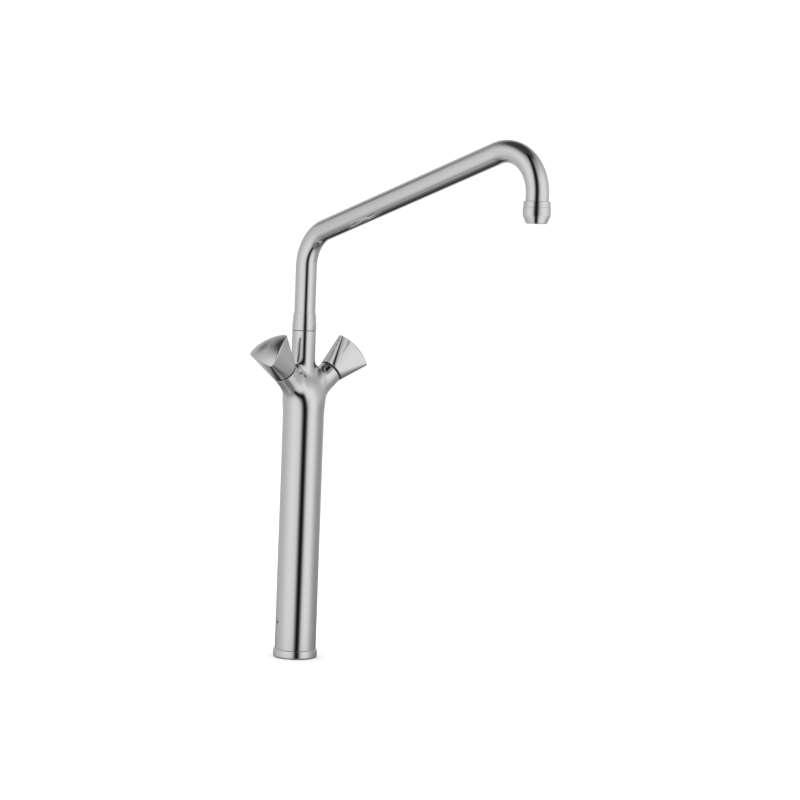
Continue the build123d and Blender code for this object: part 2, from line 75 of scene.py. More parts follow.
def make_camera():
    """Camera on the line to the tap, moved sideways and up by the offset, then rolled about its own axis."""
    data = bpy.data.cameras.new("camera")
    data.lens = LENS
    data.sensor_width = SENSOR
    data.clip_start = 0.05
    camera = bpy.data.objects.new("camera", data)
    bpy.context.scene.collection.objects.link(camera)
    place = CAMERA_AIM + to_camera * CAMERA_DISTANCE
    place += screen_right * CAMERA_OFFSET[0] + screen_up * CAMERA_OFFSET[1]
    across = screen_right * cos(CAMERA_ROLL) + screen_up * sin(CAMERA_ROLL)
    upward = screen_up * cos(CAMERA_ROLL) - screen_right * sin(CAMERA_ROLL)
    turn = Matrix((across, upward, to_camera)).transposed().to_4x4()
    camera.matrix_world = Matrix.Translation(place) @ turn
    bpy.context.scene.camera = camera
    return camera


camera = make_camera()
print("camera at", [round(v, 3) for v in camera.matrix_world.translation])

# %% [markdown]
# Every skin below is a sheet of points worked out on a grid: one direction of the grid runs round the piece,
# the other runs along it. Several sheets that share an edge are welded into one closed mesh. The grid is
# computed as whole arrays, so even a fine mesh takes no time.

# %% Weld grids into a mesh
WELD = 1e-6


def grid_faces(rows, columns, closed, first):
    """Quads of a rows by columns grid whose points are numbered from first. In a closed grid the last column
    is joined to the first."""
    i = np.arange(rows - 1)[:, None]
    j = np.arange(columns if closed else columns - 1)[None, :]
    k = (j + 1) % columns
    low, high = i * columns, (i + 1) * columns
    return np.stack([low + j, low + k, high + k, high + j], axis=-1).reshape(-1, 4) + first


def weld(name, grids, sharp=35):
    """One mesh object from a list of (points, closed) grids. Points on the same micrometre become one, quads
    that collapse to a line are dropped, and quads with a doubled corner become triangles."""
    points, quads, first = [], [], 0
    for grid, closed in grids:
        rows, columns = grid.shape[:2]
        points.append(grid.reshape(-1, 3))
        quads.append(grid_faces(rows, columns, closed, first))
        first += rows * columns
    points = np.concatenate(points)
    quads = np.concatenate(quads)
    cells = np.round(points / WELD).astype(np.int64)
    _, keep, place = np.unique(cells, axis=0, return_index=True, return_inverse=True)
    quads = place.reshape(-1)[quads]
    same = quads == np.roll(quads, -1, axis=1)
    whole = quads[same.sum(1) == 0]
    pinched = quads[same.sum(1) == 1]
    triangles = pinched[~same[same.sum(1) == 1]].reshape(-1, 3)
    corners = np.concatenate([whole.reshape(-1), triangles.reshape(-1)])
    starts = np.concatenate([np.arange(len(whole)) * 4, len(whole) * 4 + np.arange(len(triangles)) * 3])
    mesh = bpy.data.meshes.new(name)
    mesh.vertices.add(len(keep))
    mesh.vertices.foreach_set("co", points[keep].astype(np.float32).reshape(-1))
    mesh.loops.add(len(corners))
    mesh.loops.foreach_set("vertex_index", corners.astype(np.int32))
    mesh.polygons.add(len(starts))
    mesh.polygons.foreach_set("loop_start", starts.astype(np.int32))
    mesh.update(calc_edges=True)
    mesh.validate()
    mesh.shade_smooth()
    mesh.set_sharp_from_angle(angle=radians(sharp))
    piece = bpy.data.objects.new(name, mesh)
    bpy.context.scene.collection.objects.link(piece)
    print(name, len(mesh.vertices), "points,", len(mesh.polygons), "faces")
    return piece


# %% [markdown]
# Turned parts, such as rings, nuts and collars, are outlines carried round an axis. Real turned edges are
# never perfectly sharp, and on chrome the tiny rounded edge is what catches the light. So each outline is
# given as corner points with a rounding radius, and the corners are replaced by small arcs.

# %% Turned parts
def rounded_outline(corners, steps=6):
    """Closed outline through (radius, height, rounding) corners in millimetres. Each rounding is an arc that
    touches both sides: its points are the arc's centre plus the rounding radius in turning directions."""
    corners = np.array(corners, dtype=float)
    here = corners[:, :2]
    back = np.roll(here, 1, axis=0) - here
    ahead = np.roll(here, -1, axis=0) - here
    back /= np.linalg.norm(back, axis=1)[:, None]
    ahead /= np.linalg.norm(ahead, axis=1)[:, None]
    half = np.arccos(np.clip((back * ahead).sum(1), -1, 1)) / 2
    radius = corners[:, 2]
    reach = radius / np.tan(half)
    start = here + back * reach[:, None]
    end = here + ahead * reach[:, None]
    middle = back + ahead
    length = np.linalg.norm(middle, axis=1)
    flat = length < 1e-9
    middle[~flat] /= length[~flat][:, None]
    centre = here + middle * (radius / np.sin(half))[:, None]
    share = np.linspace(0, 1, steps + 1)[None, :, None]
    spread = (pi - 2 * half)[:, None, None]
    spread = np.where(spread < 1e-6, 1e-6, spread)
    from_start = (start - centre)[:, None, :]
    from_end = (end - centre)[:, None, :]
    arc = (np.sin((1 - share) * spread) * from_start + np.sin(share * spread) * from_end) / np.sin(spread)
    arc = centre[:, None, :] + arc
    sharp = radius < 1e-9
    arc[sharp] = here[sharp][:, None, :]
    return arc.reshape(-1, 2)


def turned_grid(outline, angles, place=(0, 0), closed_outline=True):
    """Grid of an outline of (radius, height) millimetres carried round a vertical axis at place:
    x = radius * cos(angle), y = radius * sin(angle), z = height."""
    outline = np.concatenate([outline, outline[:1]]) if closed_outline else np.asarray(outline, dtype=float)
    radius, height = outline[:, 0][:, None], outline[:, 1][:, None]
    x = radius * np.cos(angles)[None, :] + place[0]
    y = radius * np.sin(angles)[None, :] + place[1]
    z = height + 0 * x
    return np.stack([x, y, z], axis=-1) * MM


def full_circle(count):
    return np.arange(count) * 2 * pi / count


square = [(1, 0, 0.1), (2, 0, 0.1), (2, 1, 0.1), (1, 1, 0.1)]
print("a square ring's outline has", len(rounded_outline(square)), "points")

# %% [markdown]
# The head is the hard piece. On the real tap it is one brass casting: the column swells into two arms, and
# the neck rises between them, with no line anywhere. Joining cylinders would leave creases that chrome shows
# at once. A distance field does better: each limb is a function that says how far any point is from it, and a
# rounded minimum melts the limbs together. The skin is where that field is zero.

# %% Distance fields of the head
COLUMN_R = 21.5
FOOT_TOP = 8.6
SHOULDER_Z = 264.0
SHOULDER_H = 31.0
ARM_Z = 270.7
ARM_RISE = radians(41.5)
ARM_FORWARD = radians(6.7)
ARM_R = 13.0
ARM_END = 43.0
NECK_Y = 3.5
NECK_R = 12.4
NECK_TOP = 342.0
NECK_SUNK = 10.0
ARMS_BLEND = 10.0
COLUMN_BLEND = 17.0
NECK_BLEND = 12.0
CROTCH_BLEND = 9.0
CROTCH_X = 14.0
CROTCH_WIDTH = 5.0

HUB = np.array([0.0, 0.0, ARM_Z])
UP = np.array([0.0, 0.0, 1.0])


def unit(v):
    return v / np.maximum(np.linalg.norm(v, axis=-1, keepdims=True), 1e-12)


def arm_axis(side):
    """Unit direction of an arm: out to the side, a little forward, and up."""
    flat = cos(ARM_RISE)
    return np.array([side * flat * cos(ARM_FORWARD), -flat * sin(ARM_FORWARD), sin(ARM_RISE)])


def smooth_least(a, b, width):
    """Rounded minimum: the smaller of a and b, less a cubic bump where they differ by under width."""
    near = np.maximum(width - np.abs(a - b), 0) / width
    return np.minimum(a, b) - near**3 * width / 6


def column_field(p):
    """Distance to a round column that ends in half an ellipsoid."""
    flat = np.hypot(p[..., 0], p[..., 1])
    rise = np.maximum(p[..., 2] - SHOULDER_Z, 0)
    near = np.hypot(flat / COLUMN_R, rise / SHOULDER_H)
    slope = np.hypot(flat / COLUMN_R**2, rise / SHOULDER_H**2)
    return near * (near - 1) / np.maximum(slope, 1e-9)


def arm_field(p, side):
    """Distance to an arm: how far p is from the arm's axis beyond the hub, less the arm's radius."""
    out = arm_axis(side)
    from_hub = p - HUB
    along = np.maximum(from_hub @ out, 0)
    return np.linalg.norm(from_hub - along[..., None] * out, axis=-1) - ARM_R


def neck_field(p):
    """Distance to the upright neck, which starts inside the shoulder."""
    below = np.minimum(p[..., 2] - ARM_Z - NECK_SUNK, 0)
    return np.sqrt(p[..., 0]**2 + (p[..., 1] - NECK_Y)**2 + below**2) - NECK_R


def head_field(p):
    """Distance, negative inside the casting. The neck's blend is wider in the two narrow crotches, because a
    rounded minimum turns sharp between skins that face each other."""
    arms = smooth_least(arm_field(p, 1), arm_field(p, -1), ARMS_BLEND)
    body = smooth_least(column_field(p), arms, COLUMN_BLEND)
    crotch = np.exp(-((np.abs(p[..., 0]) - CROTCH_X) / CROTCH_WIDTH)**2)
    return smooth_least(body, neck_field(p), NECK_BLEND + CROTCH_BLEND * crotch)


print("field at the middle of the head:", round(float(head_field(HUB)), 2), "mm")


# %% [markdown]
# To lay a tidy grid over the head, it is cut into its four limbs by half-planes that all pass through one
# line from front to back. Each limb then has a ring where it meets its neighbours and a ring at its far end,
# and the grid runs between the two. Neighbours use the same points on their common cut, so the welded skin
# is closed. Each point is found by walking out from the limb's axis until the field changes sign.

# %% Find points on the head
HALF_SEAM = 80
SEAM_HUB = np.array([0.0, 0.5, 274.0])


def walk_out(start, direction, reach, step=0.75):
    """Distance along each direction at which the field first turns positive: even steps find the first one
    outside, and halving the last step twenty times finds the skin itself."""
    shape = np.broadcast_shapes(start.shape, direction.shape)[:-1]
    low = np.zeros(shape)
    walking = np.ones(shape, dtype=bool)
    for distance in np.arange(step, reach, step):
        walking &= head_field(start + direction * distance) < 0
        low[walking] = distance
    high = low + step
    for _ in range(20):
        middle = (low + high) / 2
        inside = head_field(start + direction * middle[..., None]) < 0
        low = np.where(inside, middle, low)
        high = np.where(inside, high, middle)
    return (low + high) / 2


def seam(angle):
    """Points of the skin in the half-plane at that angle above +X, from the front (-Y) to the back (+Y)."""
    tilt = np.linspace(-pi / 2, pi / 2, HALF_SEAM + 1)
    flat = np.array([cos(angle), 0, sin(angle)])
    direction = np.cos(tilt)[:, None] * flat + np.sin(tilt)[:, None] * np.array([0, 1.0, 0])
    return SEAM_HUB + direction * walk_out(SEAM_HUB, direction, 60)[:, None]


LOWER_SEAM = (ARM_RISE - pi / 2) / 2
UPPER_SEAM = (ARM_RISE + pi / 2) / 2
seams = {
    "cold_low": seam(LOWER_SEAM),
    "cold_high": seam(UPPER_SEAM),
    "hot_high": seam(pi - UPPER_SEAM),
    "hot_low": seam(pi - LOWER_SEAM),
}


def ring_between(first, second):
    """Closed ring of points: along the first seam from front to back, then back along the second."""
    return np.concatenate([seams[first][:-1], seams[second][::-1][:-1]])


def limb_grid(ring, origin, axis, end, rows):
    """Grid from a seam ring to a flat end ring. Every point keeps the angle that its seam point has about the
    limb's axis, its place along the axis runs evenly to the end, and its radius is walked out to the skin."""
    axis = np.asarray(axis, dtype=float)
    along = (ring - origin) @ axis
    spoke = ring - origin - along[:, None] * axis
    spoke /= np.linalg.norm(spoke, axis=1)[:, None]
    share = np.linspace(0, 1, rows)[:, None]
    stations = along[None, :] * (1 - share) + end * share
    centre = origin + stations[..., None] * axis
    direction = np.broadcast_to(spoke, centre.shape)
    grid = centre + direction * walk_out(centre, direction, 60)[..., None]
    grid[0] = ring
    return grid, spoke


def facing_out(grid, origin, axis):
    """The grid with its ring order turned round, if its faces look towards the axis."""
    middle = grid[len(grid) // 2]
    edge = middle[1] - middle[0]
    step = grid[len(grid) // 2 + 1][0] - middle[0]
    spoke = middle[0] - origin
    spoke = spoke - (spoke @ axis) * axis
    return grid if np.cross(edge, step) @ spoke > 0 else grid[:, ::-1]


print("seam ring points:", 2 * HALF_SEAM)

# %% [markdown]
# A real casting is bored out: the column is hollow, each arm holds a valve, and the neck holds the swivel.
# Each limb's skin therefore turns in over its end face and runs down into its bore. The bore is a plain
# outline round the same axis, and it uses the same spokes as the skin, so the two are welded together.

# %% Bores of the casting
def carried_round(outline, origin, axis, spokes):
    """Grid of (radius, distance) rows about any axis: point = origin + distance * axis + radius * spoke."""
    outline = np.asarray(outline, dtype=float)
    radius, distance = outline[:, 0][:, None, None], outline[:, 1][:, None, None]
    return origin + distance * np.asarray(axis, dtype=float) + radius * spokes[None]


def end_edge(radius, distance, size, steps=4):
    """Quarter-round from a limb's side onto its end face: an arc of that size, as (radius, distance) rows."""
    turn = np.linspace(0, pi / 2, steps + 1)
    return np.stack([radius - size + size * np.cos(turn), distance - size + size * np.sin(turn)], axis=-1)


print("an end edge has", len(end_edge(ARM_R, ARM_END, 0.4)), "rows")

# %% [markdown]
# Two small screws sit in the skin: one low on the column and one at the back of the neck. A hole in a curved
# skin is made by leaving a patch out of the grid and filling it with rings that change from the patch's
# square rim to the hole's circle. The rings are worked out flat, as arc length and height, and then wrapped
# back round the axis, so the skin keeps its true curve right up to the hole.

# %% Skin with a round hole
PATCH_COLUMNS = 6
HOLE_EDGE = 0.15


def wrap(flat, radius, place, sunk=0.0):
    """Bends (arc length, height) points round a vertical axis at place: angle = arc length / radius.
    sunk moves the points towards the axis."""
    angle = flat[..., 0] / radius
    depth = radius - sunk
    x = place[0] + depth * np.cos(angle)
    y = place[1] + depth * np.sin(angle)
    return np.stack([x, y, flat[..., 1]], axis=-1)


def flat_grid(angles, levels, radius):
    """Grid of (arc length, height) points from a list of angles and a list of levels."""
    arc, height = np.meshgrid(radius * angles, levels)
    return np.stack([arc, height], axis=-1)


def holed_sleeve(radius, low, high, angles, place, heading, height, hole_r, depth):
    """Grids of an upright sleeve from low to high with one blind round hole at the heading and height. Three
    plain grids leave a square patch free, whose rings shrink from its rim to the hole's circle."""
    angles = np.sort(np.mod(angles, 2 * pi))
    nearest = int(np.argmin(np.abs(np.angle(np.exp(1j * (angles - heading))))))
    order = (nearest - PATCH_COLUMNS + np.arange(len(angles) + 1)) % len(angles)
    turn = np.unwrap(angles[order])
    turn += 2 * pi * np.round((heading - turn[PATCH_COLUMNS]) / (2 * pi))
    across = turn[:2 * PATCH_COLUMNS + 1]
    half = radius * (across[-1] - across[0]) / 2
    levels = np.linspace(height - half, height + half, 2 * PATCH_COLUMNS + 1)
    full = turn[:-1]
    rest = np.append(turn[2 * PATCH_COLUMNS:-1], turn[0] + 2 * pi)
    below = wrap(flat_grid(full, np.array([low, levels[0]]), radius), radius, place)
    above = wrap(flat_grid(full, np.array([levels[-1], high]), radius), radius, place)
    band = wrap(flat_grid(rest, levels, radius), radius, place)
    square = flat_grid(across, levels, radius)
    rim = np.concatenate([square[0, :-1], square[:-1, -1], square[-1, :0:-1], square[:0:-1, 0]])
    centre = np.array([radius * heading, height])
    spread = (rim - centre) / np.linalg.norm(rim - centre, axis=1)[:, None]
    share = np.linspace(0, 1, 9)[:, None, None]
    rings = rim[None] * (1 - share) + (centre + (hole_r + HOLE_EDGE) * spread)[None] * share
    patch = wrap(rings, radius, place)
    circle = centre + hole_r * spread
    floor = np.broadcast_to(centre, circle.shape)
    wall = np.stack([patch[-1], wrap(circle, radius, place, HOLE_EDGE), wrap(circle, radius, place, depth),
                     wrap(floor, radius, place, depth)])
    return [(below, True), (above, True), (band, False), (patch, True), (wall, True)]


print("hole patch:", 2 * PATCH_COLUMNS, "columns wide")

# %% [markdown]
# Now the whole casting: four limbs grown from the seams, the plain sleeves of column and neck with their
# screw holes, and the bores. The arms end in a face that the black ring under each handle rests on.

# %% The body casting
COLUMN_JOIN_Z = 247.0
NECK_JOIN_Z = 324.0
ARM_EDGE = 0.4
COLUMN_EDGE = 0.3
NECK_EDGE = 0.25
COLUMN_BORE_R = 18.5
CAVITY_TOP = 258.0
ARM_BORE_R = 10.2
ARM_SEAT = 20.0
GRUB_Z = 37.0
GRUB_HEADING = radians(109.0)
GRUB_HOLE_R = 2.55
GRUB_HOLE_DEPTH = 2.9
LOCK_Z = 328.0
LOCK_HOLE_R = 2.05
LOCK_HOLE_DEPTH = 2.2
COLUMN_CENTRE = np.array([0.0, 0.0, ARM_Z])
NECK_CENTRE = np.array([0.0, NECK_Y, ARM_Z])


def limb(first, second, origin, axis, end, rows, radius):
    """Skin grid of one limb and its spokes, ordered so that the faces look outwards. The last ring is set on
    the limb's plain circle, origin + end * axis + radius * spoke, where the next sheet starts."""
    grid, spokes = limb_grid(ring_between(first, second), origin, axis, end, rows)
    grid[-1] = origin + end * np.asarray(axis) + radius * spokes
    turned_out = facing_out(grid, origin, axis)
    return (grid, spokes) if turned_out is grid else (turned_out, spokes[::-1])


def spoke_angles(spokes):
    return np.arctan2(spokes[:, 1], spokes[:, 0])


def arm_grids(side, first, second):
    """Skin of one arm, its end face and its bore down to the valve's seat."""
    axis = arm_axis(side)
    skin, spokes = limb(first, second, HUB, axis, ARM_END - ARM_EDGE, 44, ARM_R)
    bore = [(ARM_BORE_R, ARM_END), (ARM_BORE_R, ARM_SEAT), (0, ARM_SEAT)]
    inside = np.concatenate([end_edge(ARM_R, ARM_END, ARM_EDGE), bore])
    return [(skin, True), (carried_round(inside, HUB, axis, spokes), True)]


def column_grids():
    """Skin of the column from the head down to the foot, and the wide bore inside it."""
    skin, spokes = limb("cold_low", "hot_low", COLUMN_CENTRE, -UP, ARM_Z - COLUMN_JOIN_Z, 38, COLUMN_R)
    angles = spoke_angles(spokes)
    sleeve = holed_sleeve(COLUMN_R, FOOT_TOP + COLUMN_EDGE, COLUMN_JOIN_Z, angles, (0, 0),
                          heading_place(GRUB_HEADING), GRUB_Z, GRUB_HOLE_R, GRUB_HOLE_DEPTH)
    edge = end_edge(COLUMN_R, -FOOT_TOP, COLUMN_EDGE) * np.array([1, -1])
    bore = [(0, CAVITY_TOP), (COLUMN_BORE_R, CAVITY_TOP), (COLUMN_BORE_R, FOOT_TOP)]
    inside = turned_grid(np.concatenate([bore, edge[::-1]]), np.sort(angles), closed_outline=False) / MM
    return [(skin, True)] + sleeve + [(inside, True)]


def heading_place(heading):
    """Angle about +Z of a screw whose axis points to (-sin, -cos) of its heading."""
    return atan2(-cos(heading), -sin(heading))


def neck_grids():
    """Skin of the neck from the shoulder up to the swivel, and the stepped bore inside it."""
    skin, spokes = limb("cold_high", "hot_high", NECK_CENTRE, UP, NECK_JOIN_Z - ARM_Z, 76, NECK_R)
    angles = spoke_angles(spokes)
    place = (0, NECK_Y)
    sleeve = holed_sleeve(NECK_R, NECK_JOIN_Z, NECK_TOP - NECK_EDGE, angles, place,
                          pi / 2, LOCK_Z, LOCK_HOLE_R, LOCK_HOLE_DEPTH)
    steps = [(10.05, NECK_TOP), (10.05, 334), (9.06, 334), (9.06, 315.5), (6, 315.5), (6, 292.7), (0, 292.7)]
    bore = np.concatenate([end_edge(NECK_R, NECK_TOP, NECK_EDGE), steps])
    inside = turned_grid(bore, np.sort(angles), place, closed_outline=False) / MM
    return [(skin, True)] + sleeve + [(inside, True)]


casting = arm_grids(1, "cold_low", "cold_high") + arm_grids(-1, "hot_low", "hot_high")
casting += column_grids() + neck_grids()
casting_piece = weld("casting_skin", [(grid * MM, closed) for grid, closed in casting])

# %% [markdown]
# The spout is one drawn tube, bent twice. Its centre line is three straight runs joined by two arcs, all in
# one upright plane, and a circle is carried along it. The tube has a real wall, so its ends are rings and not
# discs; both ends disappear into their sockets.

# %% Spout tube
TUBE_R = 10.93
TUBE_BORE_R = 10.0
SOCKET_Z = 346.95
RISER_CORNER_Z = 438.9
RUN_RISE = radians(17.4)
RUN_LENGTH = 333.0
RISER_BEND_R = 40.0
OUTLET_BEND_R = 41.5
OUTLET_Z = 455.0
OUTLET_Y = NECK_Y - RUN_LENGTH * cos(RUN_RISE)
AERATOR_H = 15.0


def bend(corner, into, out_of, radius, steps):
    """Points and directions of an arc that touches both runs at a corner: the direction turns evenly from one
    run's to the other's, and each point is the arc's centre plus the radius across that direction."""
    turn = np.arccos(np.clip(into @ out_of, -1, 1))
    start = corner - into * radius * tan(turn / 2)
    inward = out_of - (out_of @ into) * into
    inward /= np.linalg.norm(inward)
    centre = start + inward * radius
    angle = np.linspace(0, turn, steps)[:, None]
    points = centre + radius * (np.sin(angle) * into - np.cos(angle) * inward)
    return points, np.cos(angle) * into + np.sin(angle) * inward


def spout_line():
    """Centre line of the tube and its direction at every station."""
    rising = np.array([0, -cos(RUN_RISE), sin(RUN_RISE)])
    first = np.array([0, NECK_Y, RISER_CORNER_Z])
    second = first + rising * RUN_LENGTH
    low_points, low_ways = bend(first, UP, rising, RISER_BEND_R, 40)
    high_points, high_ways = bend(second, rising, -UP, OUTLET_BEND_R, 60)
    start = np.array([[0, NECK_Y, SOCKET_Z]])
    end = np.array([[0, OUTLET_Y, OUTLET_Z + AERATOR_H + 1]])
    points = np.concatenate([start, low_points, high_points, end])
    ways = np.concatenate([[UP], low_ways, high_ways, [-UP]])
    return points, ways


def swept_tube(points, ways, radius, angles):
    """Circle of that radius carried along the line: point + radius * (cos * side + sin * across), where side
    is +X and across is at right angles to both the line and +X."""
    side = np.array([1.0, 0, 0])
    across = np.cross(ways, side)
    ring = np.cos(angles)[None, :, None] * side + np.sin(angles)[None, :, None] * across[:, None, :]
    return points[:, None, :] + radius * ring


line_points, line_ways = spout_line()
round_tube = full_circle(128)
tube_skin = swept_tube(line_points, line_ways, TUBE_R, round_tube)
tube_bore = swept_tube(line_points, line_ways, TUBE_BORE_R, round_tube)
tube_ends = [np.stack([tube_bore[0], tube_skin[0]]), np.stack([tube_skin[-1], tube_bore[-1]])]
tube_sheets = [tube_skin, tube_bore[::-1]] + tube_ends
tube_piece = weld("spout_tube_skin", [(sheet * MM, True) for sheet in tube_sheets])
print("centre line:", round(float(np.linalg.norm(np.diff(line_points, axis=0), axis=1).sum()), 1), "mm")

# %% [markdown]
# The turned pieces: the foot ring, the stepped collar, the ring above the aerator and the aerator's nut with
# its long chamfer, and the thin black ring that the spout turns on.

# %% Turned pieces
FOOT_R = 22.98
FOOT_BORE_R = 16.0
COLLAR_LOW = 342.45
COLLAR_STEP_Z = 352.0
COLLAR_TOP = 361.0
COLLAR_R = 12.5
COLLAR_UPPER_R = 11.95
SHANK_R = 9.0
AERATOR_R = 13.19
AERATOR_MOUTH_R = 9.9
AERATOR_BORE_R = 8.6
AERATOR_THREAD_R = 11.5
END_COLLAR_R = 12.78

round_ring = full_circle(160)


def turned_piece(name, corners, place=(0, 0)):
    """Welded ring from a closed outline of (radius, height, rounding) corners."""
    return weld(name, [(turned_grid(rounded_outline(corners), round_ring, place), True)])


foot_ring = turned_piece("foot_ring", [
    (FOOT_BORE_R, 0, 0.2), (17.6, 0, 0.1), (17.6, 1.6, 0), (20.6, 1.6, 0), (20.6, 0, 0.1), (FOOT_R, 0, 1.8),
    (FOOT_R, FOOT_TOP, 1.8), (18.45, FOOT_TOP, 0), (18.45, 13.2, 0.3), (FOOT_BORE_R, 13.2, 0.2),
])
spout_ring = turned_piece("swivel_ring", [
    (9.06, 334.05, 0), (10.0, 334.05, 0), (10.0, NECK_TOP, 0),
    (12.2, NECK_TOP, 0.1), (12.2, 342.4, 0.1), (9.06, 342.4, 0),
], (0, NECK_Y))
collar = turned_piece("stepped_collar", [
    (6.0, 316.0, 0.3), (SHANK_R, 316.0, 0.4),
    (SHANK_R, 318.3, 0), (7.1, 318.3, 0), (7.1, 320.7, 0), (SHANK_R, 320.7, 0),
    (SHANK_R, 322.3, 0), (7.1, 322.3, 0), (7.1, 324.7, 0), (SHANK_R, 324.7, 0),
    (SHANK_R, 326.3, 0), (7.4, 326.3, 0), (7.4, 329.7, 0), (SHANK_R, 329.7, 0),
    (SHANK_R, COLLAR_LOW, 0), (COLLAR_R, COLLAR_LOW, 0.25),
    (COLLAR_R, COLLAR_STEP_Z - 2.5, 6.0), (COLLAR_UPPER_R, COLLAR_STEP_Z + 0.5, 6.0),
    (COLLAR_UPPER_R, COLLAR_TOP - 4, 6.0), (TUBE_R + 0.3, COLLAR_TOP, 0.1), (TUBE_R + 0.05, COLLAR_TOP, 0),
    (TUBE_R + 0.05, 346.9, 0), (6.0, 346.9, 0),
], (0, NECK_Y))
end_low = OUTLET_Z + AERATOR_H + 0.06
end_collar = turned_piece("end_collar", [
    (AERATOR_BORE_R, OUTLET_Z + 9.6, 0), (AERATOR_THREAD_R, OUTLET_Z + 9.6, 0.2),
    (AERATOR_THREAD_R, end_low, 0),
    (END_COLLAR_R, end_low, 0.1), (END_COLLAR_R, end_low + 5.8, 0.8), (TUBE_R + 0.05, end_low + 5.8, 0),
    (TUBE_R + 0.05, OUTLET_Z + AERATOR_H + 0.95, 0), (AERATOR_BORE_R, OUTLET_Z + AERATOR_H + 0.95, 0),
], (0, OUTLET_Y))
aerator_nut = turned_piece("aerator_nut", [
    (AERATOR_BORE_R, OUTLET_Z, 0.35), (AERATOR_MOUTH_R, OUTLET_Z, 0.5), (AERATOR_R, OUTLET_Z + 7.3, 3.0),
    (AERATOR_R, OUTLET_Z + AERATOR_H, 0.3), (AERATOR_THREAD_R + 0.05, OUTLET_Z + AERATOR_H, 0.1),
    (AERATOR_THREAD_R + 0.05, OUTLET_Z + 6.4, 0), (AERATOR_BORE_R, OUTLET_Z + 6.4, 0),
], (0, OUTLET_Y))

# %% [markdown]
# Each handle starts as a circle at its foot and ends as a triangle under a domed top. The triangle's corners
# are round and its sides swell a little. Straight lines join every point of the circle to the point of the
# triangle that faces the same way, which gives a smooth skin without a crease. The dome is part of a ball.
# Its edge is crisp at the corners and softer between them, as polishing leaves it.

# %% Handles
KNOB_FOOT_R = 13.5
KNOB_FOOT_D = 45.0
KNOB_HEIGHT = 36.3
KNOB_RIM_R = 24.42
KNOB_DOME_H = 6.0
KNOB_CORNER_R = 1.5
KNOB_SWELL = 2.3
KNOB_CRISP = 0.9
KNOB_SOFT = 2.6
KNOB_OVER = 1.5
KNOB_CAVITY_R = 12.65
KNOB_CAVITY_TO = 57.0
INDEX_HOLE_R = 5.4
INDEX_FROM = 78.0
HOLE_LIP = 0.04
TURNS = {"hot": radians(-21), "cold": radians(13)}
SIDES = {"hot": -1, "cold": 1}
KNOB_TOP = KNOB_FOOT_D + KNOB_HEIGHT
DOME_R = (KNOB_RIM_R**2 + KNOB_DOME_H**2) / (2 * KNOB_DOME_H)
DOME_CENTRE = np.array([0, 0, KNOB_TOP - DOME_R])


def level(angles, radius=1.0, height=0.0):
    """Points at that radius and height, at those angles."""
    return np.stack([radius * np.cos(angles), radius * np.sin(angles), height + 0 * angles], axis=-1)


def foot_and_rim(corner_points=48, flat_points=40):
    """Matching points on the foot circle and on a triangle above the dome, and the angle that both face.
    The triangle is three corner arcs and three wide side arcs that touch them: with the corner centres
    2 * wide apart and a side that swells by s, the side's centre lies (wide^2 - s^2) / (2 * s) inside."""
    flare = (KNOB_RIM_R - KNOB_FOOT_R) / (KNOB_HEIGHT - KNOB_DOME_H)
    reach = KNOB_FOOT_R + flare * (KNOB_HEIGHT + KNOB_OVER)
    third = pi / 3
    corner_out = reach - KNOB_CORNER_R
    wide = corner_out * sin(third)
    inside = (wide**2 - KNOB_SWELL**2) / (2 * KNOB_SWELL)
    side_r = inside + KNOB_SWELL
    half_side = np.arcsin(wide / side_r)
    side_out = corner_out * cos(third) - inside
    faces, rim = [], []
    for corner in (0, 2 * third, 4 * third):
        face = corner + np.linspace(half_side - third, third - half_side, corner_points, endpoint=False)
        faces.append(face)
        rim.append(level(np.array([corner]), corner_out) + level(face, KNOB_CORNER_R))
        face = corner + third + np.linspace(-half_side, half_side, flat_points, endpoint=False)
        faces.append(face)
        rim.append(level(np.array([corner + third]), side_out) + level(face, side_r + KNOB_CORNER_R))
    faces = np.concatenate(faces)
    return level(faces, KNOB_FOOT_R, KNOB_FOOT_D), np.concatenate(rim) + UP * (KNOB_TOP + KNOB_OVER), faces


def corner_arc(point, back, ahead, radius, steps=6):
    """Rows of a small arc that rounds the corner between two unit directions at each point."""
    half = np.arccos(np.clip((back * ahead).sum(-1), -1, 1)) / 2
    centre = point + unit(back + ahead) * (radius / np.sin(half))[:, None]
    start = point + back * (radius / np.tan(half))[:, None] - centre
    end = point + ahead * (radius / np.tan(half))[:, None] - centre
    share = np.linspace(0, 1, steps + 1)[:, None, None]
    spread = (pi - 2 * half)[None, :, None]
    return centre + (np.sin((1 - share) * spread) * start + np.sin(share * spread) * end) / np.sin(spread)


def dome_edge(foot, rule, faces, steps=28):
    """Rows of the curve from side to dome. Each arc lies in the plane of the side's straight line and normal.
    There the dome is a circle, and the arc's centre lies one arc radius inside the line and that circle."""
    along = unit(rule)
    out = unit(np.cross(level(faces + pi / 2), along))
    from_foot = DOME_CENTRE - foot
    ball_x, ball_y = (from_foot * along).sum(-1), (from_foot * out).sum(-1)
    off = (from_foot * np.cross(along, out)).sum(-1)
    ball_r = np.sqrt(DOME_R**2 - off**2)
    rim = foot + rule
    soft = (1 - np.cos(3 * np.arctan2(rim[:, 1], rim[:, 0]))) / 2
    radius = KNOB_CRISP + (KNOB_SOFT - KNOB_CRISP) * soft
    centre_x = ball_x + np.sqrt((ball_r - radius)**2 - (radius + ball_y)**2)
    last = np.arctan2(centre_x - ball_x, -radius - ball_y)
    turn = np.linspace(0, 1, steps + 1)[:, None] * last
    x = centre_x + radius * np.sin(turn)
    y = -radius + radius * np.cos(turn)
    return foot + x[..., None] * along + y[..., None] * out


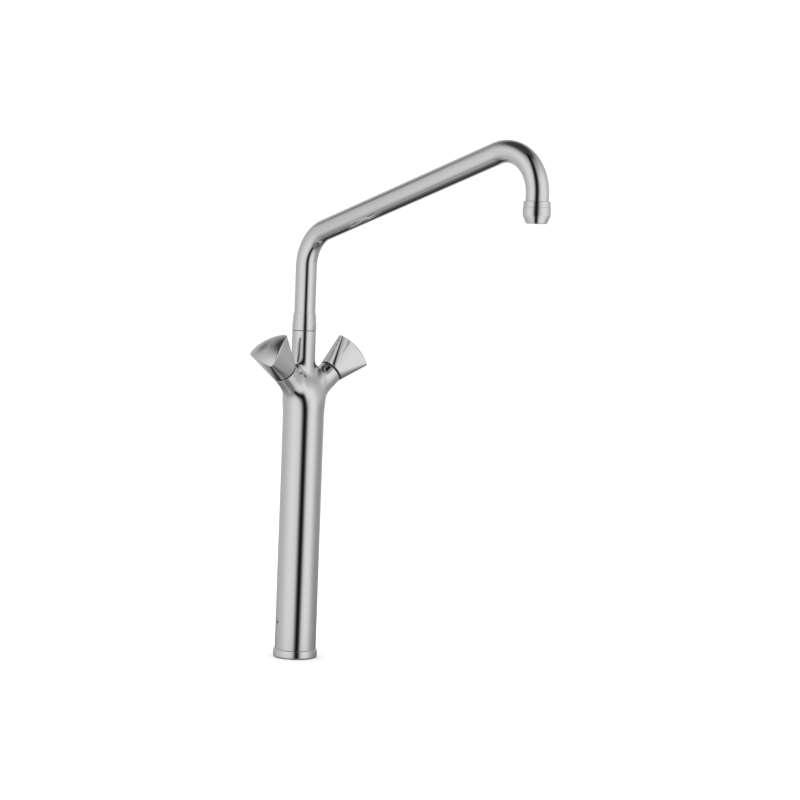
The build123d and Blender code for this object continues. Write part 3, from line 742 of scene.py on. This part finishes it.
def on_dome(flat):
    """Lifts (x, y) points onto the ball whose top is the handle's top."""
    height = DOME_CENTRE[2] + np.sqrt(DOME_R**2 - (flat**2).sum(-1))
    return np.concatenate([flat, height[..., None]], axis=-1)


def knob_rows():
    """All rings of a handle, from the roof of its hollow round the foot, up the sides and over the dome to
    the hole for the cap, in the handle's own frame with +Z along the arm."""
    foot, rim, faces = foot_and_rim()
    rule = rim - foot
    rounded = dome_edge(foot, rule, faces)
    spoke = level(faces)
    foot_edge = corner_arc(foot, -spoke, unit(rule), 0.4, 4)
    hollow = [spoke * r + UP * d for r, d in (
        (0, KNOB_CAVITY_TO), (KNOB_CAVITY_R, KNOB_CAVITY_TO), (KNOB_CAVITY_R, KNOB_FOOT_D))]
    share = np.linspace(0, 1, 26)[1:-1, None, None]
    side = foot_edge[-1] * (1 - share) + rounded[0] * share
    hole_spoke = unit(rounded[-1][:, :2])
    share = np.linspace(0, 1, 40)[1:, None, None]
    flat = rounded[-1][:, :2] * (1 - share) + hole_spoke * (INDEX_HOLE_R + HOLE_LIP) * share
    dome = on_dome(flat)
    hole_spoke = np.column_stack([hole_spoke, np.zeros(len(hole_spoke))])
    lip = dome[-1][0, 2]
    well = [hole_spoke * r + UP * d for r, d in (
        (INDEX_HOLE_R, lip - HOLE_LIP), (INDEX_HOLE_R, INDEX_FROM), (0, INDEX_FROM))]
    return np.concatenate([hollow, foot_edge, side, rounded, dome, well])


def arm_frame(name):
    """Matrix from a handle's own frame to the tap's: its columns are the turned up-direction, the direction
    across, and the arm's axis."""
    out = arm_axis(SIDES[name])
    up = unit(UP - out * out[2])
    across = np.cross(out, up)
    turn = TURNS[name]
    return np.stack([up * cos(turn) + across * sin(turn), across * cos(turn) - up * sin(turn), out], axis=-1)


def on_arm(points, name):
    """Points of a handle's own frame, in millimetres, placed on its arm in metres."""
    return (HUB + points @ arm_frame(name).T) * MM


handle_pieces = {}
for name in SIDES:
    handle_pieces[name] = weld(name + "_handle_skin", [(on_arm(knob_rows(), name), True)], sharp=50)

# %% [markdown]
# A small domed cap closes the screw well in the middle of each handle. It continues the ball of the dome, so
# only a hair-thin ring shows. Under each handle, a black plastic ring fills the gap to the arm. Its black is
# also painted shade: it stands in for the dark, shadowed gap between handle and arm.

# %% Caps, and black rings that also paint the shade under the handles
INDEX_R = 5.37
INDEX_SLIP = 0.1
SHADE_RING_BORE_R = 12.25
SHADE_RING_R = 12.8


def cap_rows():
    """Rings of the cap: flat bottom, straight side, rounded edge and a top on the dome's ball."""
    spoke = level(full_circle(96))
    low = INDEX_FROM + INDEX_SLIP
    rim_z = DOME_CENTRE[2] + sqrt(DOME_R**2 - INDEX_R**2)
    side = [(0, low), (INDEX_R, low), (INDEX_R, rim_z - 0.05), (INDEX_R - 0.01, rim_z - 0.02)]
    rings = [spoke * r + UP * d for r, d in side]
    share = np.linspace(1, 0, 16)[:, None, None]
    top = on_dome(spoke[:, :2] * (INDEX_R - 0.04) * share)
    return np.concatenate([rings, top])


def shade_ring_rows():
    """Rings of the black spacer between arm and handle; its black also paints the shade in the gap there."""
    low, high = ARM_END + 0.02, KNOB_FOOT_D - 0.05
    outline = rounded_outline([
        (SHADE_RING_BORE_R, low, 0.1), (SHADE_RING_R, low, 0.25), (SHADE_RING_R, high, 0.25), (SHADE_RING_BORE_R, high, 0.1),
    ])
    outline = np.concatenate([outline, outline[:1]])
    return carried_round(outline, np.zeros(3), UP, level(full_circle(128)))


cap_pieces = {name: weld(name + "_cap", [(on_arm(cap_rows(), name), True)]) for name in SIDES}
# Black spacer rings: partly a real spacer, partly painted shade for the dark gap under each handle.
shade_ring_pieces = {name: weld(name + "_black_shade_ring", [(on_arm(shade_ring_rows(), name), True)]) for name in SIDES}

# %% [markdown]
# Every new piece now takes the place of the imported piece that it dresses, and moves with the same body: the
# casting stands still, each handle turns on its arm, and everything beyond the swivel goes with the spout.

# %% Ride and replace
def dress(piece, body, node):
    """The piece moves with the body and stands for the node."""
    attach(piece, body)
    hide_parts(node)


dress(casting_piece, "body", "body_casting")
dress(foot_ring, "body", "base_ring")
dress(spout_ring, "body", "swivel_bush")
dress(tube_piece, "spout", "spout_tube")
dress(collar, "spout", "spout_collar")
dress(end_collar, "spout", "spout_end_collar")
dress(aerator_nut, "spout", "aerator_housing")
for name in SIDES:
    dress(handle_pieces[name], name + "_handle", name + "_knob")
    dress(cap_pieces[name], name + "_handle", name + "_index_cap")
    dress(shade_ring_pieces[name], "body", name + "_shadow_ring")
print("dressed pieces ready")

# %% [markdown]
# Finishes. A finish here is a small node tree that reads Object coordinates, so its pattern stays put on the
# piece from every side. Chrome plating over polished brass is almost a mirror. What tells it from a perfect
# mirror is slight: the polished surface is not quite flat, so reflections wander a little, and it has fine
# wiping marks that only change how sharp the reflection is.

# %% Build a finish
def new_finish(name):
    """Empty material with its shader: returns the material, its nodes, its links and the shader."""
    material = bpy.data.materials.new(name)
    material.use_nodes = True
    tree = material.node_tree
    tree.nodes.clear()
    output = tree.nodes.new("ShaderNodeOutputMaterial")
    shader = tree.nodes.new("ShaderNodeBsdfPrincipled")
    tree.links.new(shader.outputs["BSDF"], output.inputs["Surface"])
    return material, tree.nodes, tree.links, shader


def pattern(nodes, links, scale, detail=2.0, stretch=(1, 1, 1)):
    """Cloudy pattern in Object coordinates: scale is in blobs per metre, and stretch squeezes it."""
    place = nodes.new("ShaderNodeTexCoord")
    mapping = nodes.new("ShaderNodeMapping")
    mapping.inputs["Scale"].default_value = stretch
    noise = nodes.new("ShaderNodeTexNoise")
    noise.inputs["Scale"].default_value = scale
    noise.inputs["Detail"].default_value = detail
    links.new(place.outputs["Object"], mapping.inputs["Vector"])
    links.new(mapping.outputs["Vector"], noise.inputs["Vector"])
    return noise.outputs["Fac"]


def spread(nodes, links, source, low, high, from_low=0.35, from_high=0.65):
    """Stretches a pattern's middle values over the range from low to high."""
    reach = nodes.new("ShaderNodeMapRange")
    reach.inputs["From Min"].default_value = from_low
    reach.inputs["From Max"].default_value = from_high
    reach.inputs["To Min"].default_value = low
    reach.inputs["To Max"].default_value = high
    links.new(source, reach.inputs["Value"])
    return reach.outputs["Result"]


def bumps(nodes, links, source, strength, depth, before=None):
    """Raises the surface by the pattern: depth in metres is the height of a full swing."""
    bump = nodes.new("ShaderNodeBump")
    bump.inputs["Strength"].default_value = strength
    bump.inputs["Distance"].default_value = depth
    links.new(source, bump.inputs["Height"])
    if before is not None:
        links.new(before, bump.inputs["Normal"])
    return bump.outputs["Normal"]


def chrome_finish():
    material, nodes, links, shader = new_finish("bright_chrome")
    shader.inputs["Base Color"].default_value = (0.80, 0.805, 0.815, 1)
    shader.inputs["Metallic"].default_value = 1.0
    wiping = pattern(nodes, links, 700, 3, (1, 1, 0.25))
    clouds = pattern(nodes, links, 40, 3)
    haze = nodes.new("ShaderNodeMath")
    haze.operation = "ADD"
    links.new(spread(nodes, links, wiping, 0.028, 0.05), haze.inputs[0])
    links.new(spread(nodes, links, clouds, 0.0, 0.022), haze.inputs[1])
    links.new(haze.outputs[0], shader.inputs["Roughness"])
    slow = pattern(nodes, links, 45, 1)
    links.new(bumps(nodes, links, slow, 1.0, 0.00002), shader.inputs["Normal"])
    return material


chrome = chrome_finish()
print("finish:", chrome.name)

# %% [markdown]
# The other finishes are for pieces that are mostly hidden: turned brass, drawn copper, moulded black and
# white plastic, rubber, fired ceramic and stainless screws. Each still gets the marks of how it is made.

# %% The other finishes
def two_tones(nodes, links, source, dark, colour, start=0.0, end=1.0):
    """Colour that runs from dark to colour while the pattern runs from start to end."""
    ramp = nodes.new("ShaderNodeValToRGB")
    for stop, position, tone in zip(ramp.color_ramp.elements, (start, end), (dark, colour)):
        stop.position = position
        stop.color = (*tone, 1)
    links.new(source, ramp.inputs["Fac"])
    return ramp.outputs["Color"]


def worked_metal(name, colour, dark, roughness, marks, stretch, depth):
    """Bare metal with machining or drawing marks: fine lines in roughness and bump, slow stains in colour."""
    material, nodes, links, shader = new_finish(name)
    shader.inputs["Metallic"].default_value = 1.0
    stain = two_tones(nodes, links, pattern(nodes, links, 60, 4), dark, colour, 0.38, 0.62)
    links.new(stain, shader.inputs["Base Color"])
    lines = pattern(nodes, links, marks, 2, stretch)
    links.new(spread(nodes, links, lines, roughness * 0.75, roughness * 1.35), shader.inputs["Roughness"])
    links.new(bumps(nodes, links, lines, 0.5, depth), shader.inputs["Normal"])
    return material


def moulded(name, colour, darker, roughness, grain, depth, gloss=0.5):
    """Plastic, rubber or ceramic: fine grain in the bump, slow change in roughness and a little in colour."""
    material, nodes, links, shader = new_finish(name)
    shader.inputs["Specular IOR Level"].default_value = gloss
    cloud = pattern(nodes, links, 120, 3)
    links.new(two_tones(nodes, links, cloud, darker, colour), shader.inputs["Base Color"])
    links.new(spread(nodes, links, cloud, roughness * 0.8, roughness * 1.2), shader.inputs["Roughness"])
    links.new(bumps(nodes, links, pattern(nodes, links, grain, 2), 0.4, depth), shader.inputs["Normal"])
    return material


BRASS, BRASS_STAIN = (0.80, 0.62, 0.30), (0.66, 0.48, 0.22)
COPPER, COPPER_STAIN = (0.84, 0.46, 0.31), (0.62, 0.31, 0.20)
STEEL, STEEL_STAIN = (0.66, 0.66, 0.67), (0.56, 0.56, 0.57)
RUBBER, RUBBER_DARK = (0.022, 0.022, 0.022), (0.014, 0.014, 0.014)
BLACK, BLACK_DARK = (0.016, 0.016, 0.017), (0.010, 0.010, 0.010)
WHITE, WHITE_DARK = (0.80, 0.80, 0.78), (0.72, 0.72, 0.70)
CERAMIC, CERAMIC_DARK = (0.90, 0.89, 0.85), (0.84, 0.83, 0.79)
MICRON = 1e-6

finishes = {
    "chrome": chrome,
    "brass": worked_metal("turned_brass", BRASS, BRASS_STAIN, 0.26, 900, (0.3, 0.3, 3), 30 * MICRON),
    "copper": worked_metal("drawn_copper", COPPER, COPPER_STAIN, 0.30, 1200, (3, 3, 0.1), 20 * MICRON),
    "steel": worked_metal("stainless_screw", STEEL, STEEL_STAIN, 0.24, 1500, (1, 1, 1), 20 * MICRON),
    "rubber": moulded("seal_rubber", RUBBER, RUBBER_DARK, 0.62, 2600, 40 * MICRON, 0.35),
    "black_plastic": moulded("black_plastic", BLACK, BLACK_DARK, 0.38, 3200, 30 * MICRON),
    "white_plastic": moulded("white_plastic", WHITE, WHITE_DARK, 0.36, 2400, 30 * MICRON),
    "ceramic": moulded("fired_ceramic", CERAMIC, CERAMIC_DARK, 0.12, 1800, 10 * MICRON),
}
print("finishes:", ", ".join(finishes))

# %% Give every piece its finish
def finish_piece(piece, slot):
    """Puts the slot's finish on every material place of the piece."""
    slots = piece.data.materials
    if not slots:
        slots.append(finishes[slot])
    for k in range(len(slots)):
        slots[k] = finishes[slot]


slot_of = {entry["node"]: entry["material_slot"] for entry in frame["record"]["subparts"]}
for node_name, node in nodes.items():
    finish_piece(node, slot_of[node_name])
for piece in [casting_piece, foot_ring, tube_piece, collar, end_collar, aerator_nut]:
    finish_piece(piece, "chrome")
for name in SIDES:
    finish_piece(handle_pieces[name], "chrome")
    finish_piece(cap_pieces[name], "chrome")
    # the rings' black is partly painted shade for the shadowed gap under each handle
    finish_piece(shade_ring_pieces[name], "black_plastic")
finish_piece(spout_ring, "black_plastic")
print("finished", len(nodes), "packed pieces and the new skins")

# %% [markdown]
# The studio. Chrome shows the whole room, so the room has to be right all the way round. The photographer
# stood the tap in a round tent of white cloth and shot through a slit in it. The slit is the black line down
# the middle of the column, and lamps outside the cloth make the pale bands on either side. The cloth is
# dimmer behind the tap, and it fades into a dark room above and below, which gives the grey edges that set
# chrome off from a white page. The page itself is a plain pale floor that the chrome doesn't see.

# %% Floor
FLOOR_R = 3.0
FLOOR_GAP = 0.0002


def flat_disc(radius, angles, height):
    """Grid of a level disc: (radius * cos(angle), radius * sin(angle), height)."""
    x = radius * np.cos(angles)
    y = radius * np.sin(angles)
    return np.stack([x, y, 0 * x + height], axis=-1)


def pale_floor():
    """Large round floor at the tap's foot."""
    angles = full_circle(96)
    radius = np.array([0, 0.4, 1.0, FLOOR_R])[:, None]
    piece = weld("floor", [(flat_disc(radius, angles, -FLOOR_GAP)[::-1], True)])
    material, _, _, shader = new_finish("pale_floor")
    shader.inputs["Base Color"].default_value = (0.9, 0.9, 0.9, 1)
    shader.inputs["Roughness"].default_value = 0.9
    piece.data.materials.append(material)
    piece.visible_glossy = False
    return piece


pale_floor()

# %% [markdown]
# The tent is a tall tube of cloth whose brightness is a formula of two numbers: how far round it a point is,
# in degrees to the right of the line to the camera, and how high. Each lamp adds a soft bell of light, and a
# paler backdrop stands behind the tap. Below lies a dim floor with a pale patch on either side. The result
# is kept on the mesh's points as an attribute, and the cloth glows with it. That is easier to steer than real
# lamps behind cloth, and it has no noise. A lamp's three numbers are its turn and width in degrees and its
# light.

# %% Light tent
ROOM_BACK = np.array([-sin(CAMERA_TURN), -cos(CAMERA_TURN), 0.0])
ROOM_RIGHT = np.array([cos(CAMERA_TURN), -sin(CAMERA_TURN), 0.0])
TENT_R = 0.8
TENT_LOW = -2.6
TENT_HIGH = 3.2
BARE_CLOTH = 0.31
LEFT_LAMP = (-42, 55, 0.50)
RIGHT_LAMP = (57, 33, 0.51)
REAR_LAMP = (-125, 38, 0.14)
SLIT_LEFT = (-18, 7)
SLIT_RIGHT = (15, 38)
BACKDROP = (180, 35, 0.26)
HIGH_LAMP = (106, 30, 0.16)
REAR_GAP = (-125, 14, 0.65)
REAR_GAP_Z = 1.0
REAR_GAP_H = 0.22
UPPER_SHADE = (42, 30, 0.38)
TENT_FLOOR_Z = -0.9
LEFT_PATCH = (-72, 68, 0.35)
RIGHT_PATCH = (55, 40, 0.14)
BARE_FLOOR = 0.06


def fade(value, start, end):
    """Smooth step from 0 at start to 1 at end: share * share * (3 - 2 * share)."""
    share = np.clip((value - start) / (end - start), 0, 1)
    return share**2 * (3 - 2 * share)


def lamp(turn, middle, width, light):
    """Bell of light: exp(-(difference / width) squared), where the difference in degrees wraps round."""
    difference = (turn - middle + 180) % 360 - 180
    return light * np.exp(-(difference / width)**2)


def cloth_light(turn, height):
    """Light of the cloth: its own level and the lamps, times one factor for each thing that takes light away:
    the slit, the fading above, below and low behind, a gap high behind, and a shade high in front."""
    light = BARE_CLOTH + lamp(turn, *LEFT_LAMP) + lamp(turn, *RIGHT_LAMP) + lamp(turn, *REAR_LAMP)
    light = light + lamp(turn, *BACKDROP) * fade(height, -0.1, 0.15)
    light = light + lamp(turn, *HIGH_LAMP) * fade(height, 0.15, 0.42)
    slit = fade(turn, *SLIT_LEFT) * (1 - fade(turn, *SLIT_RIGHT))
    above = 1 - 0.9 * fade(height, 0.7, 2.2)
    below = 1 - 0.85 * fade(-height, -0.1, 1.6)
    behind = 1 - 0.85 * fade(np.abs(turn), 118, 168) * fade(-height, -0.05, 0.35)
    gap = lamp(turn, *REAR_GAP) * np.exp(-((height - REAR_GAP_Z) / REAR_GAP_H)**2)
    shade = lamp(turn, *UPPER_SHADE) * fade(height, 0.7, 1.2)
    return light * (1 - 0.98 * slit) * above * below * behind * (1 - gap) * (1 - shade)


def ground_light(turn, radius):
    """Light of the tent's floor: nearly dark, with a wide pale patch to the left and a faint one to the
    right, which both fade towards the middle."""
    left = lamp(turn, *LEFT_PATCH) * fade(radius, 0, 0.25)
    right = lamp(turn, *RIGHT_PATCH) * fade(radius, 0, 0.3)
    return BARE_FLOOR + left + right


def light_tent():
    """The tent's tube and floor, with the light worked out at every point."""
    angles = full_circle(360)
    height = np.linspace(TENT_LOW, TENT_HIGH, 80)[:, None]
    cloth = flat_disc(TENT_R + 0 * height, angles, height)
    ground = flat_disc(np.linspace(0, TENT_R - 0.01, 30)[:, None], angles, TENT_FLOOR_Z)
    piece = weld("light_tent", [(cloth[:, ::-1], True), (ground[::-1], True)])
    points = np.empty(len(piece.data.vertices) * 3, dtype=np.float32)
    piece.data.vertices.foreach_get("co", points)
    points = points.reshape(-1, 3)
    turn = np.degrees(np.arctan2(points @ ROOM_RIGHT, points @ ROOM_BACK))
    radius = np.hypot(points[:, 0], points[:, 1])
    light = np.where(radius > TENT_R - 0.005, cloth_light(turn, points[:, 2]), ground_light(turn, radius))
    colours = np.column_stack([light, light, light, np.ones(len(light))])
    glow = piece.data.color_attributes.new("glow", "FLOAT_COLOR", "POINT")
    glow.data.foreach_set("color", colours.astype(np.float32).reshape(-1))
    material = bpy.data.materials.new("lit_cloth")
    material.use_nodes = True
    nodes, links = material.node_tree.nodes, material.node_tree.links
    nodes.clear()
    output = nodes.new("ShaderNodeOutputMaterial")
    shine = nodes.new("ShaderNodeEmission")
    read = nodes.new("ShaderNodeAttribute")
    read.attribute_name = "glow"
    links.new(read.outputs["Color"], shine.inputs["Color"])
    links.new(shine.outputs["Emission"], output.inputs["Surface"])
    piece.data.materials.append(material)
    piece.visible_camera = False
    piece.visible_diffuse = False
    piece.visible_shadow = False
    print("cloth light from", round(float(light.min()), 3), "to", round(float(light.max()), 3))
    return piece


light_tent()

# %% [markdown]
# Last, the world. The camera sees white paper all round. The chrome sees the dark room beyond the open top of
# the tent. One very soft light from above turns the floor into a white page.

# %% World
def room():
    """World colour: the camera sees white paper, and chrome sees the dark room beyond the tent."""
    world = bpy.data.worlds.new("room")
    bpy.context.scene.world = world
    world.use_nodes = True
    nodes, links = world.node_tree.nodes, world.node_tree.links
    nodes.clear()
    output = nodes.new("ShaderNodeOutputWorld")
    paper = nodes.new("ShaderNodeBackground")
    paper.inputs["Color"].default_value = (1, 1, 1, 1)
    paper.inputs["Strength"].default_value = 1.05
    walls = nodes.new("ShaderNodeBackground")
    walls.inputs["Color"].default_value = (0.045, 0.045, 0.045, 1)
    seen = nodes.new("ShaderNodeLightPath")
    mix = nodes.new("ShaderNodeMixShader")
    links.new(seen.outputs["Is Camera Ray"], mix.inputs["Fac"])
    links.new(walls.outputs["Background"], mix.inputs[1])
    links.new(paper.outputs["Background"], mix.inputs[2])
    links.new(mix.outputs["Shader"], output.inputs["Surface"])
    return world


room()


def page_light():
    """Very soft light from above that turns the floor into a white page. Chrome doesn't see it."""
    data = bpy.data.lights.new("page_light", "SUN")
    data.angle = radians(120)
    data.energy = 4.2
    light = bpy.data.objects.new("page_light", data)
    light.visible_glossy = False
    bpy.context.scene.collection.objects.link(light)
    return light


page_light()
bpy.context.scene.view_settings.view_transform = "Standard"
print("room ready")
